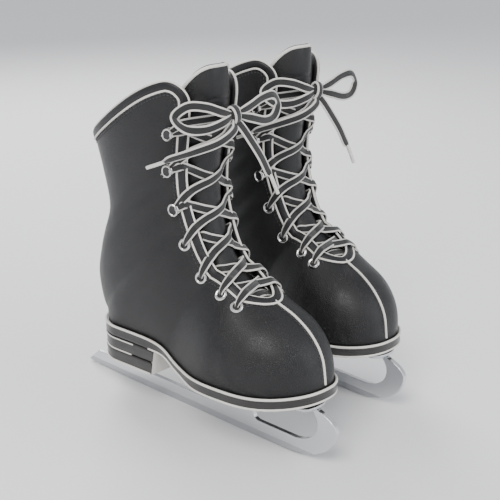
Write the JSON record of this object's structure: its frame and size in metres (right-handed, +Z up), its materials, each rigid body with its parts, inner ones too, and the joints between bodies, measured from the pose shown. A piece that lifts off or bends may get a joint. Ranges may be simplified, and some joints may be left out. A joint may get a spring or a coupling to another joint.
{
  "type": "figure skates",
  "caption": "Laced leather figure skates: padded tongue, bound collar, hooks and eyelets, stacked leather heel, steel blade with a smooth rounded prow.",
  "frame": {"origin": "on the ice, at the middle of the pair's footprint box", "axes": "+Z up; -Y towards the toes; the wearer's right skate is on -X and the left skate on +X"},
  "size_m": [0.2034, 0.2932, 0.2802],
  "materials": {
    "boot_leather": "smooth black leather, lightly polished",
    "edge_binding": "black leather binding with off-white piped edges",
    "lining": "brushed grey-brown lining",
    "sole_leather": "black lacquered sole leather with an off-white welt line",
    "lace": "woven flat lace, black with off-white selvedges",
    "blade_steel": "polished steel, ground satin along the running edge",
    "plate_steel": "polished steel plates and round-headed screws",
    "nickel_fittings": "nickel plated eyelets and hooks"
  },
  "bodies": {
    "skates": {"backstay_left": "boot_leather", "backstay_right": "boot_leather", "binding_left": "edge_binding", "binding_right": "edge_binding", "blade_left": "blade_steel", "blade_right": "blade_steel", "eyelets_inner_left": "nickel_fittings", "eyelets_inner_right": "nickel_fittings", "eyelets_outer_left": "nickel_fittings", "eyelets_outer_right": "nickel_fittings", "heel_lift_1_left": "sole_leather", "heel_lift_1_right": "sole_leather", "heel_lift_2_left": "sole_leather", "heel_lift_2_right": "sole_leather", "heel_plate_left": "plate_steel", "heel_plate_right": "plate_steel", "heel_screw_1_left": "plate_steel", "heel_screw_1_right": "plate_steel", "heel_screw_2_left": "plate_steel", "heel_screw_2_right": "plate_steel", "hook_inner_1_left": "nickel_fittings", "hook_inner_1_right": "nickel_fittings", "hook_inner_2_left": "nickel_fittings", "hook_inner_2_right": "nickel_fittings", "hook_inner_3_left": "nickel_fittings", "hook_inner_3_right": "nickel_fittings", "hook_outer_1_left": "nickel_fittings", "hook_outer_1_right": "nickel_fittings", "hook_outer_2_left": "nickel_fittings", "hook_outer_2_right": "nickel_fittings", "hook_outer_3_left": "nickel_fittings", "hook_outer_3_right": "nickel_fittings", "insole_left": "lining", "insole_right": "lining", "lace_bow_left": "lace", "lace_bow_right": "lace", "lace_left": "lace", "lace_right": "lace", "lace_tail_far_left": "lace", "lace_tail_far_right": "lace", "lace_tail_near_left": "lace", "lace_tail_near_right": "lace", "outsole_left": "sole_leather", "outsole_right": "sole_leather", "sole_plate_left": "plate_steel", "sole_plate_right": "plate_steel", "sole_screw_1_left": "plate_steel", "sole_screw_1_right": "plate_steel", "sole_screw_2_left": "plate_steel", "sole_screw_2_right": "plate_steel", "toe_seam_left": "edge_binding", "toe_seam_right": "edge_binding", "upper_inner_left": "boot_leather", "upper_inner_right": "boot_leather", "upper_outer_left": "boot_leather", "upper_outer_right": "boot_leather"},
    "tongue_right": {"tongue_right": "boot_leather"},
    "tongue_left": {"tongue_left": "boot_leather"}
  },
  "joints": [
    {"name": "tongue_right_fold", "type": "hinge", "parent": "skates", "child": "tongue_right", "pos_m": [-0.055, -0.062, 0.112], "axis": [1, 0, 0], "range_deg": [-8, 0], "stiffness_Nm_per_rad": 0.8, "springref_deg": 5.73},
    {"name": "tongue_left_fold", "type": "hinge", "parent": "skates", "child": "tongue_left", "pos_m": [0.0553, -0.0452, 0.112], "axis": [0.9987, -0.0506, 0], "range_deg": [-8, 0], "stiffness_Nm_per_rad": 0.8, "springref_deg": 5.73}
  ]
}
